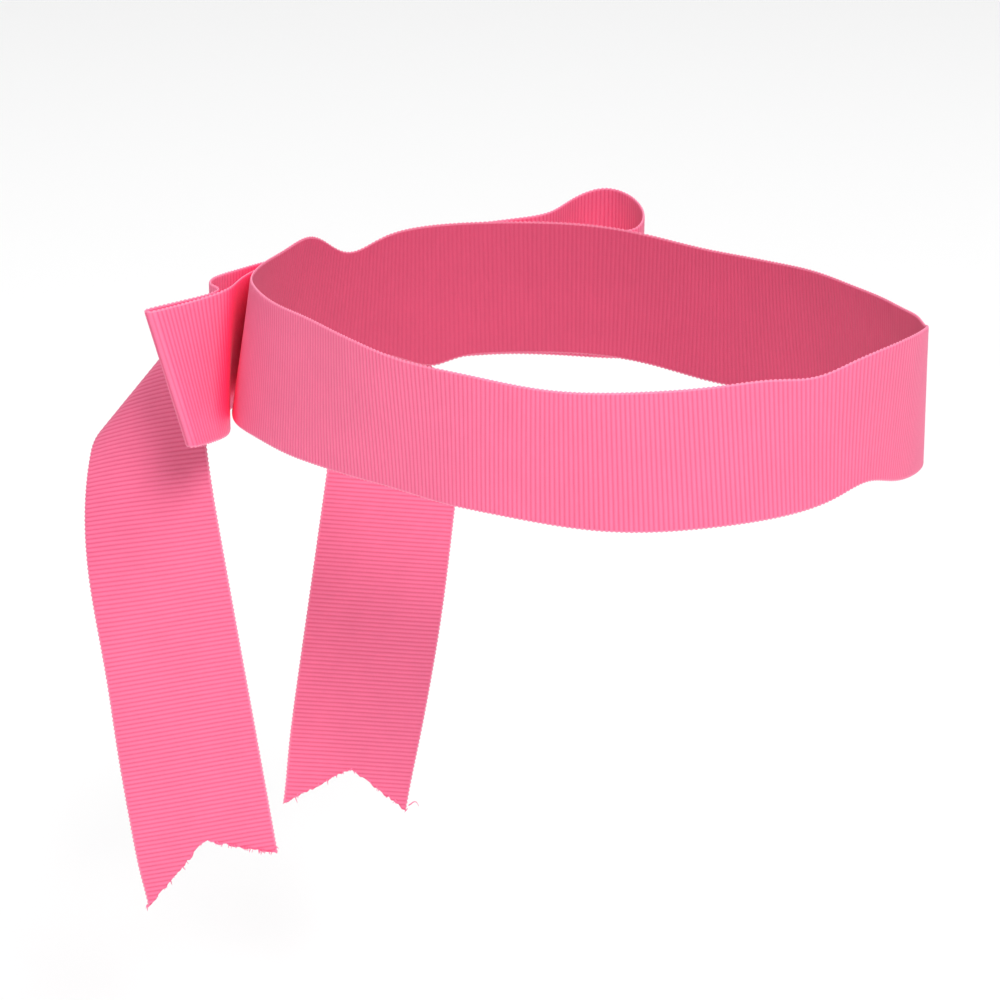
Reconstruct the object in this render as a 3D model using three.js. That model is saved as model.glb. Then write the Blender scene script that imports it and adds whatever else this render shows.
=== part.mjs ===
// A ribbon headband: one grosgrain ribbon tied round the head, with a bow at the back.
// Millimetres and degrees. +Z is up, -Y is the wearer's forehead, +Y is the back of the head
// and +X is the wearer's left. The origin is the middle of the head opening, half way up the band.
import * as THREE from 'three';

// ---- Ribbon -------------------------------------------------------------------------------
const RIBBON_WIDTH = 40;
const RIBBON_THICKNESS = 0.6;

// ---- Band: stations at equal angles, from the knot round the wearer's right side ------------
// Each station is a control value [radius, lift of the middle line, outward lean of the top].
const BAND_STATIONS = [
  [99.9, 0.8, -5], [100.9, 3.5, -11], [96.7, 3.6, -7.5], [80.3, 4.1, -0.9],
  [75.1, 1.7, 8.2], [73.8, 0, 11.3], [75.5, -3.2, 13.9], [82.6, -2.7, 4.9],
  [90.9, 0.9, 8.7], [97.2, 4.1, 4.3], [91, -3.4, -0.3], [81.6, -3.2, -5],
  [78.1, -1.4, -5.9], [75.6, -2.4, -6.3], [83.8, 2.2, -5.1], [92.5, 2.2, -3.4],
];
const BAND_ROWS = 112;
const BAND_GATHER = 0.18;          // share of the width lost where the knot grips the band
const BAND_GATHER_ANGLE = 6;
// Soft dents and rises of the edges: [turn, edge (1 top, -1 bottom), spread in degrees, lift].
const EDGE_RIPPLES = [
  [0.041, 1, 6, 2.8], [0.014, 1, 5.3, -2.6], [0.996, 1, 5.2, 1.8], [0.503, 1, 6.7, -2.4],
  [0.608, 1, 4, -2.1], [0.534, -1, 6.5, 2.2], [0.967, -1, 4.2, -2.6],
];

// ---- Knot ---------------------------------------------------------------------------------
const HALF_KNOT = { centre: [0, 102.5, 1], radii: [11, 2.4, 13.5] };
const BOW_HEART = { centre: [0, 109.6, 0], radii: [7.6, 2.5, 10] };
const WRAP = { inner: 105.6, outer: 114.8, halfHeight: 12.2, halfWidth: 9, corner: 3.6 };

// ---- Loops: control stations from the knot out to the end and back --------------------------
// Each station is [x, y, z, sideways lean x, sideways lean y of the top edge, width].
const RIGHT_LOOP = [
  [-10, 107, 0, 0, 0, 24], [-20, 103.5, 0, 0, 0, 32], [-31, 99.5, 0, 1, -2.5, 40],
  [-42, 94.7, 0, 1.7, -3, 40], [-52.6, 89.3, 0, 1.8, -2.4, 40], [-60.1, 82.9, 0, 1.8, -1.6, 40],
  [-63.8, 76.8, -0.3, 1, 0.5, 40], [-69, 74, -0.8, 0, 2.7, 39.5], [-77, 72, -0.9, -1, 5, 39],
  [-86, 70.5, -0.9, -1.5, 6.5, 39], [-89.3, 70.3, -0.9, -2, 7, 39], [-89.3, 73.3, -0.9, -2, 7, 39],
  [-86.5, 73.5, -0.9, -1.5, 6.5, 39],
  [-79, 74.5, -0.9, -1, 5, 39], [-70.5, 76, -0.9, 0, 3, 39], [-64.4, 79, -0.7, 0.5, 1, 39.5],
  [-64.4, 87.2, -0.9, 0, 0, 39.5], [-57.8, 93.8, -1.2, 0, 0, 40], [-48.2, 96.7, -1.3, 0.4, -0.8, 40],
  [-37, 100.1, -1, 0.8, -2, 40], [-25, 104.2, 0, 0.4, -1.2, 34], [-10, 109.6, 0, 0, 0, 24],
];
const LEFT_LOOP = [
  [10, 107, 0, 0, 0, 24], [16.5, 102.5, 0, 0, 0, 32], [24.5, 97.5, 0, -0.5, -1, 40],
  [33, 92.5, 0, -1.5, -1.5, 40], [41, 86.5, 0, -2, -2.5, 40], [48.5, 79.5, 0, -2, -2.5, 40],
  [54.5, 72.5, 0, -2, -2.5, 40], [59.5, 65.5, 0, -2, -2.5, 40], [64, 59.5, 0, -2, -2.5, 40],
  [68.7, 58.4, 1, -2.5, -3, 40], [76.2, 65, 3.5, -3, -4, 40], [81.4, 77, 6, -3, -4, 40],
  [79.5, 88, 7.4, -3, -4, 40], [69, 91, 4.2, -3, -4, 40], [57.5, 84.3, 2.2, -2.5, -3, 40],
  [47.5, 88.3, 1.2, -2, -2.5, 40], [38, 94.5, -0.4, -1.5, -1.5, 40], [27.5, 101, -1.2, -0.5, -1, 40],
  [19, 105.5, 0, 0, 0, 32], [10, 110, 0, 0, 0, 24],
];
const LOOP_ROWS_PER_SPAN = 6;

// ---- Tails: plumb flat strips rolled over a slanting fold, then led back to the knot ---------
// centre is on the fold, heading is the way the hanging strip faces across and tilt how far its
// right edge rides up; mirror is -1 where the fold slants the other way. rolls are arcs
// [radius, angle] met one after another beyond the fold line, which starts lead below the
// centre. Lengths down the strip are negative. The cut rises by notch from the tips to its
// middle and by skew from the left edge to the right.
const RIGHT_TAIL = {
  mirror: 1, centre: [-78.1, 103.1, -37.6], heading: -37.2, tilt: 8.7,
  slant: 42, lead: 28, rolls: [[43.5, 63.8], [8, 64.1], [60, 17]],
  split: -54, tip: -122.5, notch: 12.5, skew: 9.7, gatherFrom: 52, end: 83, root: [-10, 114.2, -2],
};
const LEFT_TAIL = {
  mirror: -1, centre: [25.5, 111, -21.8], heading: -23.8, tilt: -8.8,
  slant: 42, lead: 0, rolls: [[2.4, -168]],
  split: -32, tip: -139.4, notch: 12.2, skew: 0, gatherFrom: 0, end: 16, root: [10.6, 112.8, -3],
};
const ROOT_HALF_HEIGHT = 11;
const HINGE_GAP = 0.8;             // between a tail's root and the length that hangs from it
const TAIL_COLUMNS = 12;
const TAIL_ROWS = 12;
const ROOT_ROWS = 44;

const COLOURS = {
  outside: 0xf2608f,
  loop: 0xff7ba3,
  tail: 0xf4709a,
  knot: 0xe04a7c,
};

const radians = THREE.MathUtils.degToRad;
const vector = (values) => new THREE.Vector3(...values);

// Uniform cubic B-spline weights for the four controls round a span.
function splineWeights(u) {
  return [
    (1 - u) ** 3 / 6,
    (3 * u ** 3 - 6 * u ** 2 + 4) / 6,
    (-3 * u ** 3 + 3 * u ** 2 + 3 * u + 1) / 6,
    u ** 3 / 6,
  ];
}

// The point at parameter t on the spline of controls; each control is a list of numbers.
function splineAt(controlAt, t) {
  const span = Math.floor(t);
  const weights = splineWeights(t - span);
  const size = controlAt(span).length;
  const point = new Array(size).fill(0);
  weights.forEach((weight, k) => {
    controlAt(span + k - 1).forEach((value, axis) => { point[axis] += weight * value; });
  });
  return point;
}

// Controls of an open spline that starts and ends on its first and last station.
function openControls(stations) {
  const reflect = (end, next) => end.map((value, axis) => 2 * value - next[axis]);
  const last = stations.length - 1;
  return (k) => {
    if (k < 0) return reflect(stations[0], stations[1]);
    if (k > last) return reflect(stations[last], stations[last - 1]);
    return stations[k];
  };
}

function rowAcross(middle, direction, width) {
  const half = direction.clone().multiplyScalar(width / 2);
  return [middle.clone().sub(half), middle.clone().add(half)];
}

// A closed body from rows of points across a sheet; the rows of a closed sheet join up.
function sheetSolid(rows, closed = false) {
  const rowCount = rows.length;
  const columnCount = rows[0].length;
  const rowAt = (i) => rows[closed ? (i + rowCount) % rowCount : THREE.MathUtils.clamp(i, 0, rowCount - 1)];
  const columnAt = (row, j) => row[THREE.MathUtils.clamp(j, 0, columnCount - 1)];
  const positions = [];
  [1, -1].forEach((side) => {
    for (let i = 0; i < rowCount; i += 1) {
      for (let j = 0; j < columnCount; j += 1) {
        const along = columnAt(rowAt(i + 1), j).clone().sub(columnAt(rowAt(i - 1), j));
        const across = columnAt(rowAt(i), j + 1).clone().sub(columnAt(rowAt(i), j - 1));
        const normal = along.cross(across).normalize();
        const point = rows[i][j].clone().addScaledVector(normal, side * RIBBON_THICKNESS / 2);
        positions.push(point.x, point.y, point.z);
      }
    }
  });
  const vertex = (side, i, j) => side * rowCount * columnCount + (i % rowCount) * columnCount + j;
  const indices = [];
  const quad = (a, b, c, d) => indices.push(a, b, c, a, c, d);
  const rowSpans = closed ? rowCount : rowCount - 1;
  for (let i = 0; i < rowSpans; i += 1) {
    for (let j = 0; j < columnCount - 1; j += 1) {
      quad(vertex(0, i, j), vertex(0, i + 1, j), vertex(0, i + 1, j + 1), vertex(0, i, j + 1));
      quad(vertex(1, i, j), vertex(1, i, j + 1), vertex(1, i + 1, j + 1), vertex(1, i + 1, j));
    }
    const edge = columnCount - 1;
    quad(vertex(0, i, 0), vertex(1, i, 0), vertex(1, i + 1, 0), vertex(0, i + 1, 0));
    quad(vertex(0, i, edge), vertex(0, i + 1, edge), vertex(1, i + 1, edge), vertex(1, i, edge));
  }
  if (!closed) {
    const end = rowCount - 1;
    for (let j = 0; j < columnCount - 1; j += 1) {
      quad(vertex(0, 0, j), vertex(0, 0, j + 1), vertex(1, 0, j + 1), vertex(1, 0, j));
      quad(vertex(0, end, j), vertex(1, end, j), vertex(1, end, j + 1), vertex(0, end, j + 1));
    }
  }
  const geometry = new THREE.BufferGeometry();
  geometry.setAttribute('position', new THREE.Float32BufferAttribute(positions, 3));
  geometry.setIndex(indices);
  geometry.computeVertexNormals();
  return geometry;
}

// ---- Head band ----------------------------------------------------------------------------
function bandMiddle(turn) {
  const count = BAND_STATIONS.length;
  const controlAt = (k) => BAND_STATIONS[(k + count) % count];
  const [radius, lift, lean] = splineAt(controlAt, turn * count);
  const angle = 2 * Math.PI * turn;
  const middle = new THREE.Vector3(-radius * Math.sin(angle), radius * Math.cos(angle), lift);
  return { middle, lean: radians(lean) };
}

function headBand() {
  const rows = [];
  const step = 1e-3;
  for (let i = 0; i < BAND_ROWS; i += 1) {
    const turn = i / BAND_ROWS;
    const { middle, lean } = bandMiddle(turn);
    const ahead = bandMiddle((turn + step) % 1).middle;
    const behind = bandMiddle((turn - step + 1) % 1).middle;
    const along = ahead.sub(behind).normalize();
    const outward = new THREE.Vector3(along.y, -along.x, 0).normalize();
    const across = new THREE.Vector3(0, 0, Math.cos(lean)).addScaledVector(outward, Math.sin(lean));
    across.addScaledVector(along, -across.dot(along)).normalize();
    const fromKnot = 360 * Math.min(turn, 1 - turn);
    const gather = BAND_GATHER * Math.exp(-((fromKnot / BAND_GATHER_ANGLE) ** 2));
    const row = rowAcross(middle, across, RIBBON_WIDTH * (1 - gather));
    EDGE_RIPPLES.forEach(([centre, edge, spread, lift]) => {
      const away = 360 * (((turn - centre + 1.5) % 1) - 0.5);
      row[edge > 0 ? 1 : 0].addScaledVector(across, lift * Math.exp(-((away / spread) ** 2)));
    });
    rows.push(row);
  }
  return sheetSolid(rows, true);
}

// ---- Knot ---------------------------------------------------------------------------------
function lump({ centre, radii }) {
  return new THREE.SphereGeometry(1, 24, 14).scale(...radii).translate(...centre);
}

function knotWrap() {
  const half = WRAP.halfHeight - WRAP.corner;
  const arcSteps = 6;
  const inner = WRAP.inner + WRAP.corner;
  const outer = WRAP.outer - WRAP.corner;
  const corners = [[outer, half, 0], [inner, half, 90], [inner, -half, 180], [outer, -half, 270]];
  const rows = [];
  corners.forEach(([centreY, centreZ, start]) => {
    for (let step = 0; step <= arcSteps; step += 1) {
      const angle = radians(start + 90 * step / arcSteps);
      const y = centreY + WRAP.corner * Math.cos(angle);
      const z = centreZ + WRAP.corner * Math.sin(angle);
      const middle = new THREE.Vector3(0, y, z);
      rows.push(rowAcross(middle, new THREE.Vector3(1, 0, 0), 2 * WRAP.halfWidth));
    }
  });
  return sheetSolid(rows, true);
}

// ---- Loops --------------------------------------------------------------------------------
function bowLoop(stations) {
  const controlAt = openControls(stations);
  const spans = stations.length - 1;
  const rows = [];
  for (let i = 0; i <= spans * LOOP_ROWS_PER_SPAN; i += 1) {
    const [x, y, z, leanX, leanY, width] = splineAt(controlAt, i / LOOP_ROWS_PER_SPAN);
    const rise = Math.sqrt((RIBBON_WIDTH / 2) ** 2 - leanX ** 2 - leanY ** 2);
    const across = new THREE.Vector3(leanX, leanY, rise).normalize();
    rows.push(rowAcross(new THREE.Vector3(x, y, z), across, width));
  }
  return sheetSolid(rows);
}

// ---- Tails --------------------------------------------------------------------------------
// Where a sheet goes that runs d past the start of its rolls: [distance on, distance off the plane].
function roll(d, rolls) {
  let forward = Math.min(d, 0);
  let off = 0;
  let rest = Math.max(d, 0);
  let heading = 0;
  rolls.forEach(([radius, degrees]) => {
    const turn = Math.min(rest / radius, Math.abs(radians(degrees)));
    const sign = Math.sign(degrees);
    forward += sign * radius * (Math.sin(heading + sign * turn) - Math.sin(heading));
    off += sign * radius * (Math.cos(heading) - Math.cos(heading + sign * turn));
    heading += sign * turn;
    rest -= radius * turn;
  });
  return [forward + rest * Math.cos(heading), off + rest * Math.sin(heading)];
}

// The point of a tail at t across the ribbon and v up it, before any gathering at the knot.
function tailPoint(tail, t, v) {
  const level = new THREE.Vector3(Math.cos(radians(tail.heading)), Math.sin(radians(tail.heading)), 0);
  const plumb = new THREE.Vector3(0, 0, 1);
  const outward = plumb.clone().cross(level);
  const across = level.clone().applyAxisAngle(outward, -radians(tail.tilt));
  const up = plumb.clone().applyAxisAngle(outward, -radians(tail.tilt));
  const side = tail.mirror * t;
  const cos = Math.cos(radians(tail.slant));
  const sin = Math.sin(radians(tail.slant));
  const past = v * cos - side * sin;
  const beside = side * cos + v * sin;
  const [forward, off] = roll(past + tail.lead, tail.rolls);
  const bent = forward - tail.lead;
  return vector(tail.centre)
    .addScaledVector(across, tail.mirror * (beside * cos - bent * sin))
    .addScaledVector(up, beside * sin + bent * cos)
    .addScaledVector(outward, off);
}

function tailColumns() {
  return Array.from({ length: TAIL_COLUMNS + 1 }, (_, j) => RIBBON_WIDTH * (j / TAIL_COLUMNS - 0.5));
}

function tailRoot(tail) {
  const start = tail.split + HINGE_GAP;
  const rows = [];
  for (let i = 0; i <= ROOT_ROWS; i += 1) {
    const v = start + (tail.end - start) * i / ROOT_ROWS;
    const gather = THREE.MathUtils.smoothstep(v, tail.gatherFrom, tail.end);
    rows.push(tailColumns().map((t) => {
      const height = ROOT_HALF_HEIGHT * 2 * tail.mirror * t / RIBBON_WIDTH;
      const gripped = vector(tail.root).add(new THREE.Vector3(0, 0, height));
      return tailPoint(tail, t, v).lerp(gripped, gather);
    }));
  }
  return sheetSolid(rows);
}

function hangingTail(tail) {
  const rows = [];
  for (let i = 0; i <= TAIL_ROWS; i += 1) {
    rows.push(tailColumns().map((t) => {
      const share = 2 * t / RIBBON_WIDTH;
      const cut = tail.tip + tail.notch * (1 - Math.abs(share)) + tail.skew * share / 2;
      return tailPoint(tail, t, THREE.MathUtils.lerp(tail.split, cut, i / TAIL_ROWS));
    }));
  }
  return sheetSolid(rows);
}

// ---- Assembly -----------------------------------------------------------------------------
function ribbonMaterial(colour) {
  return new THREE.MeshStandardMaterial({ color: colour, roughness: 0.8, metalness: 0 });
}

const headband = new THREE.Group();
const pieces = [
  ['head_band', headBand(), COLOURS.outside],
  ['half_knot', lump(HALF_KNOT), COLOURS.knot],
  ['bow_heart', lump(BOW_HEART), COLOURS.knot],
  ['knot_wrap', knotWrap(), COLOURS.knot],
  ['right_loop', bowLoop(RIGHT_LOOP), COLOURS.loop],
  ['left_loop', bowLoop(LEFT_LOOP), COLOURS.loop],
  ['right_tail_root', tailRoot(RIGHT_TAIL), COLOURS.tail],
  ['right_tail', hangingTail(RIGHT_TAIL), COLOURS.tail],
  ['left_tail_root', tailRoot(LEFT_TAIL), COLOURS.tail],
  ['left_tail', hangingTail(LEFT_TAIL), COLOURS.tail],
];
pieces.forEach(([name, geometry, colour]) => {
  const mesh = new THREE.Mesh(geometry, ribbonMaterial(colour));
  mesh.name = name;
  headband.add(mesh);
});

export default headband;
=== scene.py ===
# A ribbon headband: one ribbed ribbon tied round the head, with a bow at the back.
# Shape constants are in millimetres and degrees, as in the CAD; objects are made in metres.
# +Z is up, -Y is the wearer's forehead, +Y the back of the head and +X the wearer's left.
import math

import bmesh
import bpy
import numpy as np
from mathutils import Matrix, Vector


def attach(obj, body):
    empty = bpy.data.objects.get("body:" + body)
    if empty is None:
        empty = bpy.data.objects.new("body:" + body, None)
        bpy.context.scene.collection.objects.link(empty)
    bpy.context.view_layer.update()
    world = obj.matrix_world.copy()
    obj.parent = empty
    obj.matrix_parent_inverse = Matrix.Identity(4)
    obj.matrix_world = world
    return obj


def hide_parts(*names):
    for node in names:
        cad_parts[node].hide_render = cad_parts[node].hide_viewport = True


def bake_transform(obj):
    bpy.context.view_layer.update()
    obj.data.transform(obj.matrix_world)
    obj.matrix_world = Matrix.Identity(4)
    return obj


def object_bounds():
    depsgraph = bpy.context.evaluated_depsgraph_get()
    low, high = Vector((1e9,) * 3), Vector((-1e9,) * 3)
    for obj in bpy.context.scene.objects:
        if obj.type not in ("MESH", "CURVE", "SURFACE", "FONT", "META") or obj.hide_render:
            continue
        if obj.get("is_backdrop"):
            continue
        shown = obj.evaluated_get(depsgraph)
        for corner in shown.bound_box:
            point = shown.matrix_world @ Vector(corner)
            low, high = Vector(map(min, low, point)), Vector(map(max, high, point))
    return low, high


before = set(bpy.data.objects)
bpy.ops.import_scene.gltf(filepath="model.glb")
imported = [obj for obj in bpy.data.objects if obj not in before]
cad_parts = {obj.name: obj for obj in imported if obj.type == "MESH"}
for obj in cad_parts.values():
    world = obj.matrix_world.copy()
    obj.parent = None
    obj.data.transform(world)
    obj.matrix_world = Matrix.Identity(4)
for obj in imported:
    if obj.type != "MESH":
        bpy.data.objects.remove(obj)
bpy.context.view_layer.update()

MM = 0.001

# ---- Ribbon ---------------------------------------------------------------------------------
WIDTH = 40.0
HALF = WIDTH / 2
CLOTH = 0.38                 # thickness in the groove between two ribs
RIB_RISE = 0.19              # how far a rib stands above the groove, on each face
RIB_PITCH = 1.27
RIB_PHASES = (0.0, 0.25, 0.43, 0.57, 0.75)   # where the rows of points lie on each rib
RIB_ROUNDNESS = 0.7          # power that makes full ribs and narrow grooves of a plain wave
EDGE_SCALLOP = 0.14          # how far each rib's end stands out past the groove
EDGE_STRIP = 0.5             # strip along each edge that is rounded and scalloped
EDGE_SHARE = 0.12            # share of the thickness that is left at the very edge
EDGE_COLUMNS = (0.0, 0.25, 0.7, 1.5)   # columns near each edge, measured in from it
INNER_START = 2.8            # how far in from each edge the inner columns start
INNER_COLUMNS = 19
TAIL_INNER_COLUMNS = 41      # closer together, so that the cut ends come out ragged
END_MARGIN = 0.02            # rows closer than this to an end are left to the end's own row
LENGTH_STEPS = 6000          # steps along a curve while its length is measured
TOUCHING = 1e-6              # points closer than this are one point
UV_SCALE = 0.01
FRONT, REVERSE, RIM = 0, 1, 2   # kinds of face, in the order of a ribbon's material slots

# ---- Band: [radius, lift, outward lean] at equal angles, from the knot round the wearer's right
# BAND_STATIONS, EDGE_RIPPLES and many of the tails' numbers come from fits made by scratch
# programs, with a few changes by hand.
BAND_STATIONS = [
    [99.9, 0.8, -5], [100.9, 3.5, -11], [96.7, 3.6, -7.5], [80.3, 4.1, -0.9],
    [75.1, 1.7, 8.2], [73.8, 0, 11.3], [75.5, -3.2, 13.9], [82.6, -2.7, 4.9],
    [90.9, 0.9, 8.7], [97.2, 4.1, 4.3], [91, -3.4, -0.3], [81.6, -3.2, -5],
    [78.1, -1.4, -5.9], [75.6, -2.4, -6.3], [83.8, 2.2, -5.1], [92.5, 2.2, -3.4],
]
BAND_GATHER = 0.18           # share of the width lost where the knot grips the band
BAND_GATHER_ANGLE = 6.0
BAND_WAVER = 0.3             # how far the band's face and edges stray
BAND_FACE_SEED, BAND_EDGE_SEED = 3, 5
TURN_STEP = 1e-4             # part of a turn over which the band's direction is taken
# Soft dents and rises of the edges: [turn, edge (1 top, -1 bottom), spread in degrees, lift].
# The fifth is softer here than in the CAD.
EDGE_RIPPLES = [
    [0.041, 1, 6, 2.8], [0.014, 1, 5.3, -2.6], [0.996, 1, 5.2, 1.8], [0.503, 1, 6.7, -2.4],
    [0.608, 1, 5, -1.2], [0.534, -1, 6.5, 2.2], [0.967, -1, 4.2, -2.6],
]

# ---- Knot -----------------------------------------------------------------------------------
WRAP = {"inner": 105.6, "outer": 114.8, "half_height": 12.2, "half_width": 9.0, "corner": 3.6}
WRAP_ROOM = 1.3              # kept free above and below the wrap's ring for its pleats
WRAP_ARC_STEPS = 12
WRAP_FOLDS = 3.5             # folds across the wrap
WRAP_PLEAT = 1.75            # depth of the folds
WRAP_PLEAT_WAVER = 0.25      # share by which that depth varies
WRAP_DRIFT, WRAP_SWAY = 0.8, 0.5   # how far the folds wander, and sway once each way round
WRAP_PINCH = 0.12            # share by which the width narrows and swells, twice round
WRAP_TURN_IN = 1.2           # how far the side edges turn in
WRAP_DRIFT_SEED, WRAP_DEPTH_SEED = 31, 33
HALF_KNOT = {"centre": (0, 102.5, 1), "radii": (11, 2.4, 13.5), "pleats": 9, "twist": 2.6, "seed": 41}
BOW_HEART = {"centre": (0, 109.6, 0), "radii": (7.6, 2.5, 10), "pleats": 7, "twist": 0.8, "seed": 43}
BUNDLE_COLUMNS = 97
BUNDLE_TAPER = 0.86          # how nearly a bundle closes at its ends
BUNDLE_FOLD = 0.13           # depth of a bundle's folds, as a share of its radius
BUNDLE_WAVER = 0.4

# ---- Loops: [x, y, z, sideways lean x, sideways lean y of the top edge, width] -----------------
RIGHT_LOOP = [
    [-10, 107, 0, 0, 0, 24], [-20, 103.5, 0, 0, 0, 32], [-31, 99.5, 0, 1, -2.5, 40],
    [-42, 94.7, 0, 1.7, -3, 40], [-52.6, 89.3, 0, 1.8, -2.4, 40], [-60.1, 82.9, 0, 1.8, -1.6, 40],
    [-63.8, 76.8, -0.3, 1, 0.5, 40], [-69, 74, -0.8, 0, 2.7, 39.5], [-77, 72, -0.9, -1, 5, 39],
    [-86, 70.5, -0.9, -1.5, 6.5, 39], [-89.3, 70.3, -0.9, -2, 7, 39], [-89.3, 73.3, -0.9, -2, 7, 39],
    [-86.5, 73.5, -0.9, -1.5, 6.5, 39],
    [-79, 74.5, -0.9, -1, 5, 39], [-70.5, 76, -0.9, 0, 3, 39], [-64.4, 79, -0.7, 0.5, 1, 39.5],
    [-64.4, 87.2, -0.9, 0, 0, 39.5], [-57.8, 93.8, -1.2, 0, 0, 40], [-48.2, 96.7, -1.3, 0.4, -0.8, 40],
    [-37, 100.1, -1, 0.8, -2, 40], [-25, 104.2, 0, 0.4, -1.2, 34], [-10, 109.6, 0, 0, 0, 24],
]
LEFT_LOOP = [
    [10, 107, 0, 0, 0, 24], [16.5, 102.5, 0, 0, 0, 32], [24.5, 97.5, 0, -0.5, -1, 40],
    [33, 92.5, 0, -1.5, -1.5, 40], [41, 86.5, 0, -2, -2.5, 40], [48.5, 79.5, 0, -2, -2.5, 40],
    [54.5, 72.5, 0, -2, -2.5, 40], [59.5, 65.5, 0, -2, -2.5, 40], [64, 59.5, 0, -2, -2.5, 40],
    [68.7, 58.4, 1, -2.5, -3, 40], [76.2, 65, 3.5, -3, -4, 40], [81.4, 77, 6, -3, -4, 40],
    [79.5, 88, 7.4, -3, -4, 40], [69, 91, 4.2, -3, -4, 40], [57.5, 84.3, 2.2, -2.5, -3, 40],
    [47.5, 88.3, 1.2, -2, -2.5, 40], [38, 94.5, -0.4, -1.5, -1.5, 40], [27.5, 101, -1.2, -0.5, -1, 40],
    [19, 105.5, 0, 0, 0, 32], [10, 110, 0, 0, 0, 24],
]
LOOP_PLEAT = 1.25            # depth of a loop's pleats where it is gripped
LOOP_WAVER = 0.25
PLEAT_FROM, PLEAT_FULL = 0.03, 0.4   # shares of the width lost where pleats start and are full
PLEAT_PHASE = 0.6

# ---- Tails: plumb flat strips rolled over a slanting fold, then led back to the knot -----------
RIGHT_TAIL = {
    "mirror": 1, "centre": (-78.1, 103.1, -37.6), "heading": -37.2, "tilt": 8.7,
    "slant": 42, "lead": 28, "rolls": [(43.5, 63.8), (8, 64.1), (60, 17)],
    "split": -54, "tip": -122.5, "notch": 12.5, "skew": 9.7, "gather_from": 52, "end": 83,
    "root": (-10, 114.2, -2), "buckle_seed": 21, "bow": [(-1, 1.0, -52, 24), (-1, 0.8, -127, 9)],
    "loose": [(HALF - 0.4, 0.9, 0.6)],
}
LEFT_TAIL = {
    "mirror": -1, "centre": (25.5, 111, -21.8), "heading": -23.8, "tilt": -8.8,
    "slant": 42, "lead": 0, "rolls": [(2.4, -168)],
    "split": -32, "tip": -139.4, "notch": 12.2, "skew": 0, "gather_from": 0, "end": 16,
    "root": (10.6, 112.8, -3), "buckle_seed": 22,
    "bow": [(1, 1.1, -78, 34), (-1, 1.0, -139, 16), (1, -1.0, -139, 20)],
    "loose": [(HALF - 0.4, 3.2, 1.3)],
}
ROOT_HALF_HEIGHT = 11.0
PLEATS = 4                   # folds across the ribbon where the knot grips it
ROOT_PLEAT = 1.1             # depth of a tail's pleats where it is gripped
TAIL_BUCKLE = 0.5
BUCKLE_FROM, BUCKLE_FULL = 10, 50    # distances below the tail's centre
FRAY = 0.45                  # how unevenly the columns stop at the cut

# ---- Hidden ends: what is gripped runs on inside the knot's wrap ------------------------------
HIDDEN = 6.0
HIDDEN_LOOP_Y = (108.2, 110.2)   # the loop's two ends
HIDDEN_LOOP_WIDTH = 17
HIDDEN_TAIL_SINK = 2.6       # how far a tail's end sinks towards the head
HIDDEN_TAIL_NARROWING = 0.25

# ---- Loose threads of the cut ends ------------------------------------------------------------
THREAD_COUNT = 46
THREAD_SIDES = 5
THREAD_TAPER = 0.7
THREAD_HELPER = (0.3, 0.2, 0.93)     # a direction that no thread runs along
LOOSE_THREAD_RADIUS = 0.2
LOOSE_THREAD_START = 1.5     # how far above the cut a long thread leaves the ribbon

# ---- Colours, painted shade and finish --------------------------------------------------------
# The groove colours are deeper than the crest colours: painted shade in the grooves between ribs.
PINK_CREST = (0.86, 0.160, 0.300)
PINK_GROOVE_SHADED = (0.70, 0.065, 0.170)
# Painted shade: a darker, duller copy of the cloth's colours, used only on the band's reverse, the
# inside of the ring.
SHADED_CREST = (0.55, 0.054, 0.128)
SHADED_GROOVE = (0.49, 0.040, 0.105)
SELVEDGE = (0.90, 0.33, 0.47)
SELVEDGE_WIDTH = 0.5
SELVEDGE_SHARE = 0.35        # how much of the selvedge's colour shows on it
THREAD_PINK = (0.88, 0.2, 0.36)
CREASE_SHADE_RED = (1.0, 0.012, 0.13)        # painted shade: the deep red the cloth is tinted where other cloth crowds it in folds and creases
CREASE_SHADE_REACH = 0.0075          # metres within which other cloth brings on the painted crease shade
CREASE_SHADE_OPEN, CREASE_SHADE_CONTRAST = 0.88, 1.5     # openness where the painted red shade starts, and how fast it grows
CREST_FULLNESS = 0.6
FACE_OFFSET = 7.3            # keeps the noise of the two faces apart
MOTTLE, SLUBS, PATCHES = 0.05, 0.05, 0.06    # how far each kind of unevenness shades the cloth
ROUGHNESS_WAVER = 0.06

# ---- Camera and stage: degrees and metres, with the lens in millimetres ------------------------
AZIMUTH, ELEVATION = -40.0, 15.0
DISTANCE = 1.5
AIM_RIGHT, AIM_UP = -0.0238, -0.0346
LENS, SENSOR = 197.6, 36.0
FLOOR_SIZE, FLOOR_DROP = 12, 0.12
WORLD_STRENGTH = 0.3
KEY_SIZE, KEY_WATTS = 0.45, 16
KEY_RIGHT, KEY_BACK, KEY_UP = 0.2, 1.3, 0.45   # right of the origin, towards the camera, and up
KEY_TARGET = (0, 0, -0.03)
OVERHEAD_SIZE, OVERHEAD_WATTS = 5.0, 80
OVERHEAD_HEIGHT, OVERHEAD_BEHIND = 2.2, 0.9


# ---- Small maths ------------------------------------------------------------------------------
def smooth(x, low, high):
    u = np.clip((x - low) / (high - low), 0.0, 1.0)
    return u * u * (3 - 2 * u)


def unit(v):
    return v / np.maximum(np.linalg.norm(v, axis=-1, keepdims=True), 1e-12)


def ripple(a, b, seed):
    """A smooth, repeatable wavering value of two coordinates, about -1 to 1."""
    rng = np.random.default_rng(seed)
    total = 0.0
    for _ in range(6):
        angle, phase = rng.uniform(0, 2 * math.pi, 2)
        scale = rng.uniform(0.6, 1.6)
        total = total + np.sin(scale * (a * math.cos(angle) + b * math.sin(angle)) + phase)
    return total / 3.0


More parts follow.
